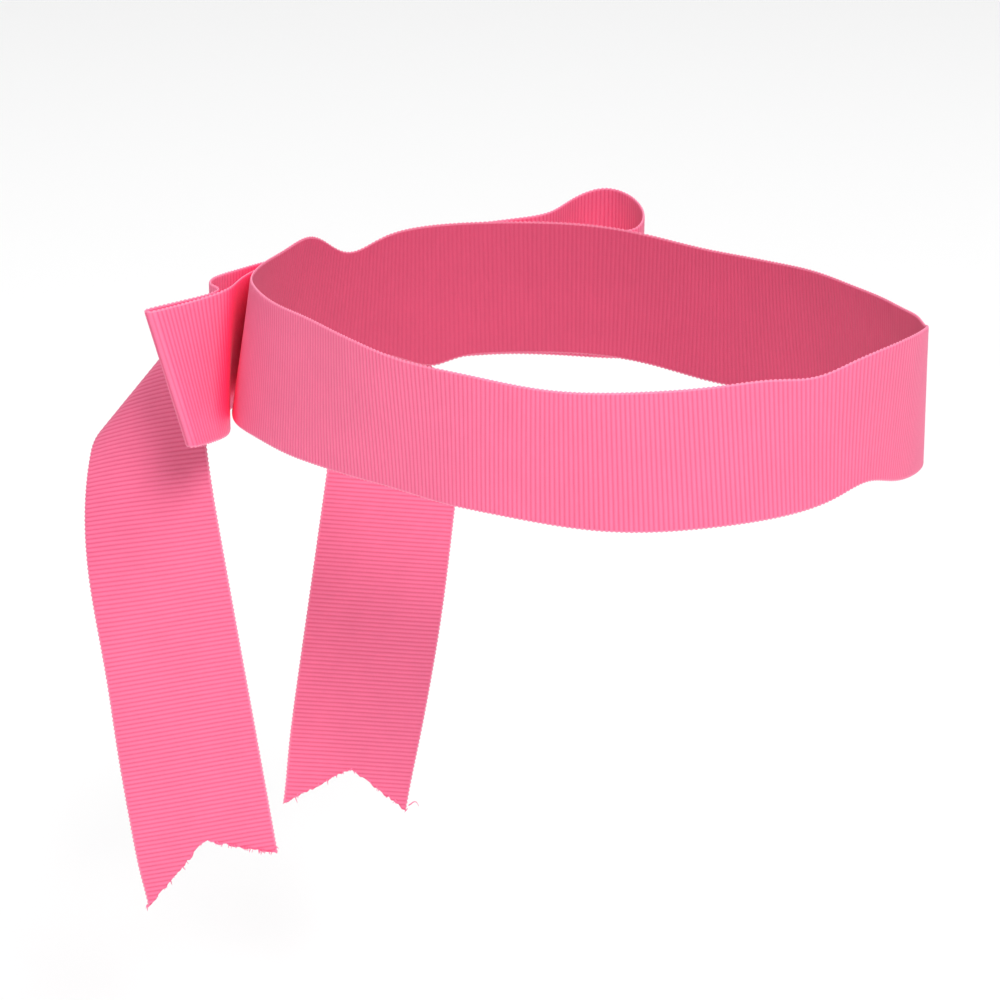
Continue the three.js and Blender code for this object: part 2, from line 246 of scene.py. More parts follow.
def spline(stations, t, closed=False):
    """Uniform cubic B-spline of the stations at parameters t."""
    s = np.array(stations, float)
    count = len(s)
    if closed:
        controls = s[np.arange(-1, count + 2) % count]
        span = np.floor(t).astype(int)
        u = t - span
        span = span % count
    else:
        controls = np.vstack([2 * s[0] - s[1], s, 2 * s[-1] - s[-2]])
        span = np.clip(np.floor(t).astype(int), 0, count - 2)
        u = t - span
    u = u[:, None]
    weights = [
        (1 - u) ** 3 / 6, (3 * u ** 3 - 6 * u ** 2 + 4) / 6,
        (-3 * u ** 3 + 3 * u ** 2 + 3 * u + 1) / 6, u ** 3 / 6,
    ]
    return sum(w * controls[span + k] for k, w in enumerate(weights))


def lengths_along(place, end):
    """Fine steps of t from 0 to end, and the length of the curve place(t) up to each."""
    t = np.linspace(0.0, end, LENGTH_STEPS)
    points = place(t)
    length = np.concatenate([[0], np.cumsum(np.linalg.norm(np.diff(points, axis=0), axis=1))])
    return t, length


def rib_rows(length):
    """Rows along an open ribbon: the same few on every rib, and one at each end."""
    ribs = np.arange(0, int(length / RIB_PITCH) + 2)
    s = ((ribs[:, None] + np.array(RIB_PHASES)[None, :]) * RIB_PITCH).ravel()
    s = s[(s > END_MARGIN) & (s < length - END_MARGIN)]
    return np.concatenate([[0.0], s, [length]])


def closed_rib_rows(length):
    """Rows round a closed ribbon of whole ribs, and the same rows at the true rib pitch."""
    ribs = round(length / RIB_PITCH)
    s = (np.arange(ribs)[:, None] + np.array(RIB_PHASES)[None, :]).ravel() / ribs * length
    return s, s * ribs * RIB_PITCH / length


def columns(inner_count=INNER_COLUMNS):
    inner = np.linspace(-HALF + INNER_START, HALF - INNER_START, inner_count)
    edge = np.array(EDGE_COLUMNS)
    return np.concatenate([-HALF + edge, inner, (HALF - edge)[::-1]])


def grid_of(s, t):
    """The length and the width of every point, from those of the rows and the columns."""
    shape = (len(s), len(t))
    return np.broadcast_to(s[:, None], shape), np.broadcast_to(t, shape)


def rib_wave(s):
    return np.abs(np.cos(math.pi * s / RIB_PITCH)) ** RIB_ROUNDNESS


def rib_height(s, t):
    """Half the cloth's thickness at length s and width t: rounded ribs, narrow grooves."""
    from_edge = HALF - np.abs(t)
    rounded = np.sqrt(np.clip(from_edge / EDGE_STRIP, 0.0, 1.0))
    return (CLOTH / 2 + RIB_RISE * rib_wave(s)) * (EDGE_SHARE + (1 - EDGE_SHARE) * rounded)


def scallop_edges(middle, s, t):
    """Moves the outermost columns in and out, so that each rib ends in a small bulge."""
    amount = EDGE_SCALLOP * np.cos(2 * math.pi * s / RIB_PITCH)
    across = unit(np.gradient(middle, axis=1))
    reach = np.where(np.abs(t) > HALF - EDGE_STRIP, np.sign(t) * amount, 0.0)
    return middle + across * reach[..., None]


# ---- Meshes -----------------------------------------------------------------------------------
def add_object(name, mesh):
    obj = bpy.data.objects.new(name, mesh)
    bpy.context.scene.collection.objects.link(obj)
    return obj


def both_faces(middle, normal, s, t):
    """The points of a cloth body's front, then those of its reverse, in metres."""
    height = rib_height(s, t)[..., None]
    front, reverse = middle + normal * height, middle - normal * height
    return np.concatenate([front.reshape(-1, 3), reverse.reshape(-1, 3)]) * MM


def weave_of_face(s, t):
    """Each point's place on the ribbon: length, width and side."""
    return np.stack([s, t, np.zeros(s.shape)], axis=-1).reshape(-1, 3)


def weave_of_both(s, t):
    face = weave_of_face(s, t)
    return np.concatenate([face, face + np.array([0, 0, 1.0])])


def store_weave(mesh, weave):
    attribute = mesh.attributes.new("weave", "FLOAT_VECTOR", "POINT")
    attribute.data.foreach_set("vector", weave.astype(np.float32).ravel())


def store_uv(mesh, weave):
    """Lays the ribbon out flat, from the weave at each corner of each face."""
    uv = mesh.uv_layers.new(name="UVMap")
    flat = weave[:, :2] * UV_SCALE + np.array([0.0, 0.5])
    uv.data.foreach_set("uv", flat.astype(np.float32).ravel())


def cells_of(index):
    """Four-cornered faces between neighbouring rows and columns of point numbers."""
    return np.stack([index[:-1, :-1], index[1:, :-1], index[1:, 1:], index[:-1, 1:]], axis=-1)


def strip_between(a, b):
    """Four-cornered faces between two lines of point numbers."""
    return np.stack([a[:-1], b[:-1], b[1:], a[1:]], axis=-1)


def grid_mesh(name, middle, s, t, closed=False):
    """A closed cloth body from a grid of points on its middle surface; s and t are its weave."""
    rows, cols = middle.shape[:2]
    if closed:
        along = np.roll(middle, -1, axis=0) - np.roll(middle, 1, axis=0)
    else:
        along = np.gradient(middle, axis=0)
    normal = unit(np.cross(along, np.gradient(middle, axis=1)))
    points = both_faces(middle, normal, s, t)
    index = np.arange(rows * cols).reshape(rows, cols)
    other = index + rows * cols
    if closed:
        index = np.vstack([index, index[:1]])
        other = np.vstack([other, other[:1]])
    front = cells_of(index).reshape(-1, 4)
    reverse = cells_of(other).reshape(-1, 4)[:, ::-1]
    rims = [strip_between(index[:, 0], other[:, 0])]
    rims.append(strip_between(index[:, -1], other[:, -1])[:, ::-1])
    if not closed:
        rims.append(strip_between(index[0], other[0])[:, ::-1])
        rims.append(strip_between(index[-1], other[-1]))
    faces = np.concatenate([front, reverse] + rims)
    rim_count = len(faces) - len(front) - len(reverse)
    kinds = np.repeat([FRONT, REVERSE, RIM], [len(front), len(reverse), rim_count])

    mesh = bpy.data.meshes.new(name)
    mesh.vertices.add(len(points))
    mesh.vertices.foreach_set("co", points.ravel())
    mesh.loops.add(faces.size)
    mesh.loops.foreach_set("vertex_index", faces.ravel().astype(np.int32))
    mesh.polygons.add(len(faces))
    mesh.polygons.foreach_set("loop_start", np.arange(0, faces.size, 4, dtype=np.int32))
    mesh.polygons.foreach_set("material_index", kinds.astype(np.int32))
    mesh.polygons.foreach_set("use_smooth", np.ones(len(faces), bool))
    mesh.update(calc_edges=True)
    weave = weave_of_both(s, t)
    store_weave(mesh, weave)
    store_uv(mesh, weave[faces.ravel()])
    mesh.validate(verbose=False)
    return add_object(name, mesh)


def cut_mesh(name, middle, s, t, inside):
    """A ribbon body whose columns stop at a cut: cells wholly past the cut are left out."""
    rows, cols = middle.shape[:2]
    along = np.gradient(middle, axis=0)
    collapsed = np.linalg.norm(along, axis=-1) < TOUCHING
    normal = unit(np.cross(along, np.gradient(middle, axis=1)))
    for i in range(1, rows):
        normal[i][collapsed[i]] = normal[i - 1][collapsed[i]]
    points = both_faces(middle, normal, s, t)
    index = np.arange(rows * cols).reshape(rows, cols)
    keep = inside[:-1, :-1] | inside[:-1, 1:]
    cells = merge_map(middle)[cells_of(index)[keep]]
    faces, kinds = cut_faces(cells, rows * cols)

    mesh = bpy.data.meshes.new(name)
    mesh.from_pydata(points.tolist(), [], faces)
    mesh.polygons.foreach_set("material_index", np.array(kinds, np.int32))
    mesh.polygons.foreach_set("use_smooth", np.ones(len(faces), bool))
    store_weave(mesh, weave_of_both(s, t))
    drop_unused(mesh)
    corners = np.zeros(len(mesh.loops), np.int32)
    mesh.loops.foreach_get("vertex_index", corners)
    weave = np.zeros(len(mesh.vertices) * 3, np.float32)
    mesh.attributes["weave"].data.foreach_get("vector", weave)
    store_uv(mesh, weave.reshape(-1, 3)[corners])
    mesh.update()
    return add_object(name, mesh)


def cut_faces(cells, count):
    """Front and reverse faces of the cells, then a rim wherever a cell has no neighbour."""
    faces, kinds = [], []
    open_edges = {}
    for cell in cells:
        loop = [corner for k, corner in enumerate(cell) if corner != cell[k - 1]]
        if len(loop) < 3:
            continue
        faces += [loop, [corner + count for corner in reversed(loop)]]
        kinds += [FRONT, REVERSE]
        for a, b in zip(loop, loop[1:] + loop[:1]):
            if (b, a) in open_edges:
                del open_edges[(b, a)]
            else:
                open_edges[(a, b)] = True
    for a, b in open_edges:
        faces.append([b, a, a + count, b + count])
        kinds.append(RIM)
    return faces, kinds


def merge_map(middle):
    """Points that the cut has pushed together down a column become one."""
    rows, cols = middle.shape[:2]
    merge = np.arange(rows * cols).reshape(rows, cols)
    same = np.linalg.norm(np.diff(middle, axis=0), axis=-1) < TOUCHING
    for i in range(1, rows):
        merge[i][same[i - 1]] = merge[i - 1][same[i - 1]]
    return merge.ravel()


def drop_unused(mesh):
    """Deletes the points that no face uses."""
    bm = bmesh.new()
    bm.from_mesh(mesh)
    loose = [v for v in bm.verts if not v.link_faces]
    bmesh.ops.delete(bm, geom=loose, context="VERTS")
    bm.to_mesh(mesh)
    bm.free()


def bundle_mesh(name, middle, s, t):
    """A closed, ribbed body from rings of points whose last column repeats the first."""
    middle, s, t = middle[:, :-1], s[:, :-1], t[:, :-1]
    rows, cols = s.shape
    outward = unit(middle - middle.mean(axis=1, keepdims=True))
    points = (middle + outward * (RIB_RISE * rib_wave(s))[..., None]).reshape(-1, 3)
    index = np.arange(rows * cols).reshape(rows, cols).tolist()
    faces = []
    for ring, following in zip(index, index[1:]):
        for j in range(cols):
            k = (j + 1) % cols
            faces.append((ring[j], ring[k], following[k], following[j]))
    faces.append(tuple(reversed(index[0])))
    faces.append(tuple(index[-1]))
    mesh = bpy.data.meshes.new(name)
    mesh.from_pydata((points * MM).tolist(), [], faces)
    mesh.polygons.foreach_set("use_smooth", np.ones(len(faces), bool))
    store_weave(mesh, weave_of_face(s, t))
    mesh.update()
    return add_object(name, mesh)


def tube_mesh(name, lines, radii):
    """Thin threads: each line of points becomes a tapering tube."""
    points, faces = [], []
    sides = THREAD_SIDES
    for line, radius in zip(lines, radii):
        line = np.array(line, float)
        along = unit(np.gradient(line, axis=0))
        one = unit(np.cross(along, np.array(THREAD_HELPER)))
        two = np.cross(along, one)
        base = len(points)
        count = len(line)
        for i in range(count):
            r = radius * (1.0 - THREAD_TAPER * (i / (count - 1)) ** 2)
            for k in range(sides):
                angle = 2 * math.pi * k / sides
                points.append(line[i] + r * (math.cos(angle) * one[i] + math.sin(angle) * two[i]))
        for i in range(count - 1):
            for k in range(sides):
                a, b = base + i * sides + k, base + i * sides + (k + 1) % sides
                faces.append((a, b, b + sides, a + sides))
        faces.append(tuple(base + k for k in reversed(range(sides))))
        faces.append(tuple(base + (count - 1) * sides + k for k in range(sides)))
    mesh = bpy.data.meshes.new(name)
    mesh.from_pydata([tuple(p * MM) for p in points], [], faces)
    mesh.polygons.foreach_set("use_smooth", np.ones(len(mesh.polygons), bool))
    mesh.update()
    return add_object(name, mesh)


# ---- Materials --------------------------------------------------------------------------------
def ribbon_material(name, crest, groove, roughness=0.55, sheen=0.12):
    """Ribbed cloth: lighter rib crests, grooves darkened with painted shade, fine threads running over
    the ribs.
    """
    material = bpy.data.materials.new(name)
    material.use_nodes = True
    nodes, links = material.node_tree.nodes, material.node_tree.links
    nodes.clear()
    output = nodes.new("ShaderNodeOutputMaterial")
    shader = nodes.new("ShaderNodeBsdfPrincipled")
    links.new(shader.outputs["BSDF"], output.inputs["Surface"])
    weave = nodes.new("ShaderNodeAttribute")
    weave.attribute_name = "weave"
    split = nodes.new("ShaderNodeSeparateXYZ")
    links.new(weave.outputs["Vector"], split.inputs[0])

    def maths(operation, a, b=None):
        node = nodes.new("ShaderNodeMath")
        node.operation = operation
        for socket, value in zip(node.inputs, (a, b)):
            if value is None:
                continue
            if isinstance(value, (int, float)):
                socket.default_value = value
            else:
                links.new(value, socket)
        return node.outputs[0]

    phase = maths("MULTIPLY", split.outputs["X"], math.pi / RIB_PITCH)
    crest_share = maths("POWER", maths("ABSOLUTE", maths("COSINE", phase)), CREST_FULLNESS)

    def noise(scale_s, scale_t, detail):
        stretch = nodes.new("ShaderNodeVectorMath")
        stretch.operation = "MULTIPLY"
        stretch.inputs[1].default_value = (scale_s, scale_t, FACE_OFFSET)
        links.new(weave.outputs["Vector"], stretch.inputs[0])
        texture = nodes.new("ShaderNodeTexNoise")
        texture.inputs["Scale"].default_value = 1.0
        texture.inputs["Detail"].default_value = detail
        texture.inputs["Roughness"].default_value = 0.55
        links.new(stretch.outputs[0], texture.inputs["Vector"])
        return texture.outputs["Fac"]

    def varied(around, amount, texture):
        """A value that strays by amount to either side as the texture does."""
        return maths("ADD", around - amount, maths("MULTIPLY", texture, 2 * amount))

    threads = noise(0.8, 3.4, 1.0)
    slubs = noise(1.6, 0.12, 1.0)
    patches = noise(0.045, 0.07, 3.0)

    def blend(first, second, share):
        node = nodes.new("ShaderNodeMix")
        node.data_type = "RGBA"
        for socket, colour in ((node.inputs["A"], first), (node.inputs["B"], second)):
            if isinstance(colour, tuple):
                socket.default_value = (*colour, 1)
            else:
                links.new(colour, socket)
        links.new(share, node.inputs["Factor"])
        return node.outputs["Result"]

    # Painted shade: the colour deepens from each rib's crest into its groove.
    ribbed = blend(groove, crest, crest_share)
    from_middle = maths("ABSOLUTE", split.outputs["Y"])
    on_selvedge = maths("GREATER_THAN", from_middle, HALF - SELVEDGE_WIDTH)
    at_edge = maths("MULTIPLY", on_selvedge, SELVEDGE_SHARE)
    cloth_with_painted_shade = blend(ribbed, SELVEDGE, at_edge)
    # Painted shade: where other cloth is close (ambient occlusion), the colour is tinted deep red.
    # This stands in for the shade and the red bounced light in folds and creases.
    crease_occlusion = nodes.new("ShaderNodeAmbientOcclusion")
    crease_occlusion.samples = 6
    crease_occlusion.inputs["Distance"].default_value = CREASE_SHADE_REACH
    depth = maths("SUBTRACT", CREASE_SHADE_OPEN, crease_occlusion.outputs["AO"])
    red = maths("MULTIPLY", depth, CREASE_SHADE_CONTRAST)
    share = maths("MAXIMUM", maths("MINIMUM", red, 1.0), 0.0)
    cloth_with_painted_shade = blend(cloth_with_painted_shade, CREASE_SHADE_RED, share)
    value = maths("MULTIPLY", varied(1.0, MOTTLE, threads), varied(1.0, SLUBS, slubs))
    value = maths("MULTIPLY", value, varied(1.0, PATCHES, patches))
    shade = nodes.new("ShaderNodeHueSaturation")
    links.new(cloth_with_painted_shade, shade.inputs["Color"])
    links.new(value, shade.inputs["Value"])
    links.new(shade.outputs["Color"], shader.inputs["Base Color"])

    links.new(varied(roughness, ROUGHNESS_WAVER, threads), shader.inputs["Roughness"])
    shader.inputs["Sheen Weight"].default_value = sheen
    shader.inputs["Sheen Roughness"].default_value = 0.45
    shader.inputs["Sheen Tint"].default_value = (1.0, 0.72, 0.82, 1)
    shader.inputs["Specular IOR Level"].default_value = 0.4

    bump = nodes.new("ShaderNodeBump")
    bump.inputs["Strength"].default_value = 0.35
    bump.inputs["Distance"].default_value = 0.00012
    links.new(threads, bump.inputs["Height"])
    links.new(bump.outputs["Normal"], shader.inputs["Normal"])
    return material


def plain_material(name, colour, roughness):
    material = bpy.data.materials.new(name)
    material.use_nodes = True
    shader = material.node_tree.nodes["Principled BSDF"]
    shader.inputs["Base Color"].default_value = (*colour, 1)
    shader.inputs["Roughness"].default_value = roughness
    return material


OUTSIDE = ribbon_material("ribbon_face", PINK_CREST, PINK_GROOVE_SHADED)
# The band's inside: the cloth's colours darkened, as painted shade.
SHADED_INSIDE = ribbon_material("ribbon_reverse_shaded", SHADED_CREST, SHADED_GROOVE, roughness=0.65, sheen=0.08)
EDGE = ribbon_material("ribbon_edge", SELVEDGE, PINK_CREST, roughness=0.6)
THREAD = plain_material("loose_thread", THREAD_PINK, 0.7)


def dress(obj, reverse=OUTSIDE):
    """Fills the slots for the front, the reverse and the rim."""
    for material in (OUTSIDE, reverse, EDGE):
        obj.data.materials.append(material)


# ---- Band -------------------------------------------------------------------------------------
def band_frame(turn):
    """Middle line and outward lean, in radians, of the band at turns from the knot."""
    radius, lift, lean = spline(BAND_STATIONS, (turn % 1.0) * len(BAND_STATIONS), closed=True).T
    angle = 2 * math.pi * turn
    middle = np.stack([-radius * np.sin(angle), radius * np.cos(angle), lift], axis=1)
    return middle, np.radians(lean)


def band_surface(turn, t):
    """Points of the band at turns from the knot and widths t."""
    middle, lean = band_frame(turn)
    along = unit(band_frame(turn + TURN_STEP)[0] - band_frame(turn - TURN_STEP)[0])
    level = np.zeros(len(turn))
    outward = unit(np.stack([along[:, 1], -along[:, 0], level], axis=1))
    across = np.stack([level, level, np.cos(lean)], axis=1) + outward * np.sin(lean)[:, None]
    across = unit(across - along * (across * along).sum(1)[:, None])
    normal = np.cross(along, across)
    from_knot = 360 * ((turn + 0.5) % 1.0 - 0.5)
    gather = BAND_GATHER * np.exp(-((from_knot / BAND_GATHER_ANGLE) ** 2))
    spread = t[None, :] * (1 - gather)[:, None]
    round_x, round_y = np.cos(2 * math.pi * turn)[:, None], np.sin(2 * math.pi * turn)[:, None]
    waver = ripple(7 * round_x + t[None, :] / 14, 7 * round_y, BAND_FACE_SEED)
    edge_waver = ripple(12 * round_x + np.sign(t[None, :]) * 4, 12 * round_y, BAND_EDGE_SEED)
    edge_lift = BAND_WAVER * edge_waver * (np.abs(t[None, :]) / HALF) ** 3
    for centre, edge, wide, lift in EDGE_RIPPLES:
        away = 360 * ((turn - centre + 0.5) % 1.0 - 0.5)
        near_edge = ((1 + edge * t / HALF) / 2) ** 1.5
        edge_lift = edge_lift + (lift * np.exp(-((away / wide) ** 2)))[:, None] * near_edge[None, :]
    points = middle[:, None, :] + across[:, None, :] * (spread + edge_lift)[..., None]
    return points + normal[:, None, :] * (BAND_WAVER * waver)[..., None]


def make_band():
    turns, length = lengths_along(lambda u: band_frame(u)[0], 1.0)
    rows, weave_rows = closed_rib_rows(length[-1])
    t = columns()
    s_grid, t_grid = grid_of(weave_rows, t)
    middle = scallop_edges(band_surface(np.interp(rows, length, turns), t), s_grid, t_grid)
    obj = grid_mesh("band", middle, s_grid, t_grid, closed=True)
    dress(obj, SHADED_INSIDE)
    return obj, length[-1]


# ---- Loops ------------------------------------------------------------------------------------
def loop_surface(stations, u, t, seed):
    """Points of a loop at spline parameters u and widths t, pleated where it is gripped."""
    data = spline(stations, u)
    middle, lean, width = data[:, :3], data[:, 3:5], data[:, 5]
    rise = np.sqrt(HALF ** 2 - (lean ** 2).sum(1))
    across = unit(np.concatenate([lean, rise[:, None]], axis=1))
    squeeze = np.clip(width / WIDTH, 0, 1)
    along = unit(np.gradient(middle, axis=0))
    normal = unit(np.cross(along, across))
    depth = smooth(1 - squeeze, PLEAT_FROM, PLEAT_FULL) * LOOP_PLEAT
    pleat = depth[:, None] * np.sin(2 * math.pi * PLEATS * t[None, :] / WIDTH + PLEAT_PHASE)
    pleat = pleat * np.sign((normal[:, 1] + 1e-9))[:, None]
    waver = LOOP_WAVER * ripple(u[:, None] * 0.9, t[None, :] / 13, seed)
    points = middle[:, None, :] + across[:, None, :] * (t[None, :] * squeeze[:, None])[..., None]
    return points + normal[:, None, :] * (pleat + waver)[..., None]


def with_hidden_ends(stations, side):
    """The same loop, with both ends run on into the wrap, narrowing as they go."""
    x = stations[0][0] - side * HIDDEN
    head, tail = [[x, y, 0, 0, 0, HIDDEN_LOOP_WIDTH] for y in HIDDEN_LOOP_Y]
    return [head] + stations + [tail]


def make_loop(name, stations, side, seed):
    full = with_hidden_ends(stations, side)
    params, length = lengths_along(lambda u: spline(full, u)[:, :3], len(full) - 1.0)
    s, t = rib_rows(length[-1]), columns()
    s_grid, t_grid = grid_of(s, t)
    middle = loop_surface(full, np.interp(s, length, params), t, seed)
    obj = grid_mesh(name, scallop_edges(middle, s_grid, t_grid), s_grid, t_grid)
    dress(obj)
    return obj, length[-1]


# ---- Tails ------------------------------------------------------------------------------------
def roll(d, rolls):
    """Where a sheet goes that runs d past the start of its rolls: distance on, distance off."""
    forward, off = np.minimum(d, 0.0), np.zeros_like(d)
    rest = np.maximum(d, 0.0)
    heading = np.zeros_like(d)
    for radius, degrees in rolls:
        turn = np.minimum(rest / radius, abs(math.radians(degrees)))
        sign = math.copysign(1, degrees)
        forward = forward + sign * radius * (np.sin(heading + sign * turn) - np.sin(heading))
        off = off + sign * radius * (np.cos(heading) - np.cos(heading + sign * turn))
        heading = heading + sign * turn
        rest = rest - radius * turn
    return forward + rest * np.cos(heading), off + rest * np.sin(heading)


def tail_axes(tail):
    """Directions across, up and out of the hanging strip."""
    heading, tilt = math.radians(tail["heading"]), math.radians(tail["tilt"])
    level = np.array([math.cos(heading), math.sin(heading), 0.0])
    plumb = np.array([0.0, 0.0, 1.0])
    outward = np.cross(plumb, level)
    across = math.cos(tilt) * level + math.sin(tilt) * plumb
    up = math.cos(tilt) * plumb - math.sin(tilt) * level
    return across, up, outward


def tail_points(tail, t, v):
    """Points of a tail at t across and v up the ribbon, gathered where it meets the knot."""
    across, up, outward = tail_axes(tail)
    side = tail["mirror"] * t
    cos, sin = math.cos(math.radians(tail["slant"])), math.sin(math.radians(tail["slant"]))
    past, beside = v * cos - side * sin, side * cos + v * sin
    forward, off = roll(past + tail["lead"], tail["rolls"])
    bent = forward - tail["lead"]
    sideways = tail["mirror"] * (beside * cos - bent * sin)
    points = np.array(tail["centre"], float) + sideways[..., None] * across
    points = points + (beside * sin + bent * cos)[..., None] * up + off[..., None] * outward
    gather = smooth(v, tail["gather_from"], tail["end"])[..., None]
    height = ROOT_HALF_HEIGHT * 2 * tail["mirror"] * t / WIDTH
    pleat = ROOT_PLEAT * np.sin(2 * math.pi * PLEATS * t / WIDTH + PLEAT_PHASE)
    root = np.array(tail["root"], float)
    gripped = np.stack([root[0] + 0 * v, root[1] + pleat, root[2] + height], axis=-1)
    beyond = np.clip((v - tail["end"]) / HIDDEN, 0, 1)
    inward = np.stack([
        -np.sign(root[0]) * HIDDEN * beyond,
        -HIDDEN_TAIL_SINK * beyond,
        -height * HIDDEN_TAIL_NARROWING * beyond,
    ], axis=-1)
    return points * (1 - gather) + gripped * gather + inward


def tail_cut(tail, t):
    """How far down the ribbon each column runs before the V-shaped cut."""
    share = t / HALF
    return tail["tip"] + tail["notch"] * (1 - np.abs(share)) + tail["skew"] * share / 2


def tail_buckle(tail, t, v):
    """Soft buckles of the hanging length, away from its flat plane."""
    hanging = smooth(-v, BUCKLE_FROM, BUCKLE_FULL)
    return hanging * TAIL_BUCKLE * ripple(v / 26, t / 13, tail["buckle_seed"])


def tail_bow(tail, t, v):
    """Small sideways drift of an edge: [edge, drift, how far down, spread] for each."""
    drift = np.zeros_like(v)
    for edge, amount, down, wide in tail["bow"]:
        drift = drift + amount * (1 + edge * t / HALF) / 2 * np.exp(-(((v - down) / wide) ** 2))
    return drift


def make_tail(name, tail, seed):
    top = tail["end"] + HIDDEN
    length = top - tail["tip"] + abs(tail["skew"]) / 2
    t = columns(TAIL_INNER_COLUMNS)
    rows, t_grid = grid_of(rib_rows(length), t)
    v = top - rows
    fray = FRAY * np.random.default_rng(seed).uniform(-1, 1, len(t))[None, :]
    limit = tail_cut(tail, t)[None, :] + fray
    last = np.maximum(v, limit)
    across, _, outward = tail_axes(tail)
    middle = tail_points(tail, t_grid, last)
    middle = middle + outward * tail_buckle(tail, t_grid, last)[..., None]
    middle = middle + across * tail_bow(tail, t_grid, last)[..., None]
    s_grid = top - last
    obj = cut_mesh(name, scallop_edges(middle, s_grid, t_grid), s_grid, t_grid, v > limit)
    dress(obj)
    return obj, length


def point_on_tail(tail, t, above_cut):
    v = float(tail_cut(tail, np.array([t]))[0]) + above_cut
    return tail_points(tail, np.array([t]), np.array([v]))[0]


def cut_threads(name, tail, seed):
    """Short threads standing out of the cut ends, and a few longer loose ones."""
    rng = np.random.default_rng(seed)
    across, up, outward = tail_axes(tail)
    lines, radii = [], []
    for _ in range(THREAD_COUNT):
        base = point_on_tail(tail, rng.uniform(-HALF + 0.3, HALF - 0.3), 0.0)
        long = rng.uniform(0.5, 1.2) * (1.8 if rng.random() < 0.1 else 1.0)
        aside, curl = rng.normal(0, 0.45), rng.normal(0, 0.3)
        out = rng.normal(0, 0.3)
        line = [base + up * (0.5 - (long + 0.2) * f) + across * (aside * f + curl * f * f)
                + outward * (out * f) for f in np.linspace(0, 1, 5)]
        lines.append(line)
        radii.append(rng.uniform(0.12, 0.24))
    for t, reach, rise in tail["loose"]:
        base = point_on_tail(tail, t, LOOSE_THREAD_START)
        lines.append([base + across * (reach * f) + up * (rise * math.sin(math.pi * f ** 1.3))
                      for f in np.linspace(0, 1, 12)])
        radii.append(LOOSE_THREAD_RADIUS)
    obj = tube_mesh(name, lines, radii)
    obj.data.materials.append(THREAD)
    return obj


# ---- Knot -------------------------------------------------------------------------------------
def wrap_ring():
    """The wrap's middle line seen from the side: a closed box with round corners, [y, z]."""
    half = WRAP["half_height"] - WRAP["corner"] - WRAP_ROOM
    radius = WRAP["corner"]
    inner, outer = WRAP["inner"] + radius, WRAP["outer"] - radius
    ring = []
    for y, z, start in ((outer, half, 0), (inner, half, 90), (inner, -half, 180), (outer, -half, 270)):
        for step in range(WRAP_ARC_STEPS + 1):
            angle = math.radians(start + 90 * step / WRAP_ARC_STEPS)
            ring.append((y + radius * math.cos(angle), z + radius * math.sin(angle)))
    ring.append(ring[0])
    return np.array(ring)


def make_wrap():
    """The turn of ribbon round the knot, gathered to about half its width in long pleats."""
    ring = wrap_ring()
    gaps = np.linalg.norm(np.diff(ring, axis=0), axis=1)
    length = np.concatenate([[0], np.cumsum(gaps)])
    s, weave_rows = closed_rib_rows(length[-1])
    y, z = np.interp(s, length, ring[:, 0]), np.interp(s, length, ring[:, 1])
    flat = np.stack([np.zeros_like(y), y, z], axis=1)
    centre = np.array([0.0, (WRAP["inner"] + WRAP["outer"]) / 2, 0.0])
    ahead = unit(np.roll(flat, -3, axis=0) - np.roll(flat, 3, axis=0))
    outward = unit(np.cross(ahead, np.array([1.0, 0, 0])))
    outward = outward * np.sign(((flat - centre) * outward).sum(1))[:, None]

    t = columns()
    across = t[None, :]
    turn = 2 * math.pi * s[:, None] / length[-1]
    round_x, round_y = 1.5 * np.cos(turn), 1.5 * np.sin(turn)
    drift = WRAP_DRIFT * ripple(round_x + across / 9, round_y, WRAP_DRIFT_SEED)
    strength = ripple(round_x, round_y + across / 8, WRAP_DEPTH_SEED)
    depth = WRAP_PLEAT * (1 + WRAP_PLEAT_WAVER * strength)
    fold = 2 * math.pi * WRAP_FOLDS * across / WIDTH
    pleat = depth * np.sin(fold + WRAP_SWAY * np.sin(turn) + drift)
    turn_in = -WRAP_TURN_IN * (np.abs(across) / HALF) ** 4
    pinch = 1.0 - WRAP_PINCH * np.cos(2 * turn)
    x = across * (2 * WRAP["half_width"] / WIDTH) * pinch
    middle = x[..., None] * np.array([1.0, 0, 0]) + flat[:, None, :]
    middle = middle + outward[:, None, :] * (pleat + turn_in)[..., None]
    s_grid, t_grid = grid_of(weave_rows, t)
    obj = grid_mesh("knot_wrap_ribbon", middle, s_grid, t_grid, closed=True)
    dress(obj)
    return obj, length[-1]


def make_bundle(name, shape):
    """Ribbon bunched into a flattened bundle with folds running along it."""
    centre, radii = np.array(shape["centre"], float), np.array(shape["radii"], float)
    length = 2 * radii[0]
    s = rib_rows(length)
    t = np.linspace(-HALF, HALF, BUNDLE_COLUMNS)
    f = (s / length * 2 - 1)[:, None]
    angle = 2 * math.pi * (t[None, :] + HALF) / WIDTH
    swell = np.sqrt(np.clip(1 - (BUNDLE_TAPER * f) ** 2, 0, 1))
    waver = BUNDLE_WAVER * ripple(f * 3, angle, shape["seed"])
    folds = np.sin(shape["pleats"] * angle + shape["twist"] * f + waver)
    radius = swell * (1 - BUNDLE_FOLD * (0.5 + 0.5 * folds))
    x = centre[0] + radii[0] * f + 0 * angle
    y = centre[1] + radii[1] * radius * np.cos(angle)
    z = centre[2] + radii[2] * radius * np.sin(angle)
    obj = bundle_mesh(name, np.stack([x, y, z], axis=-1), *grid_of(s, t))
    dress(obj)
    return obj


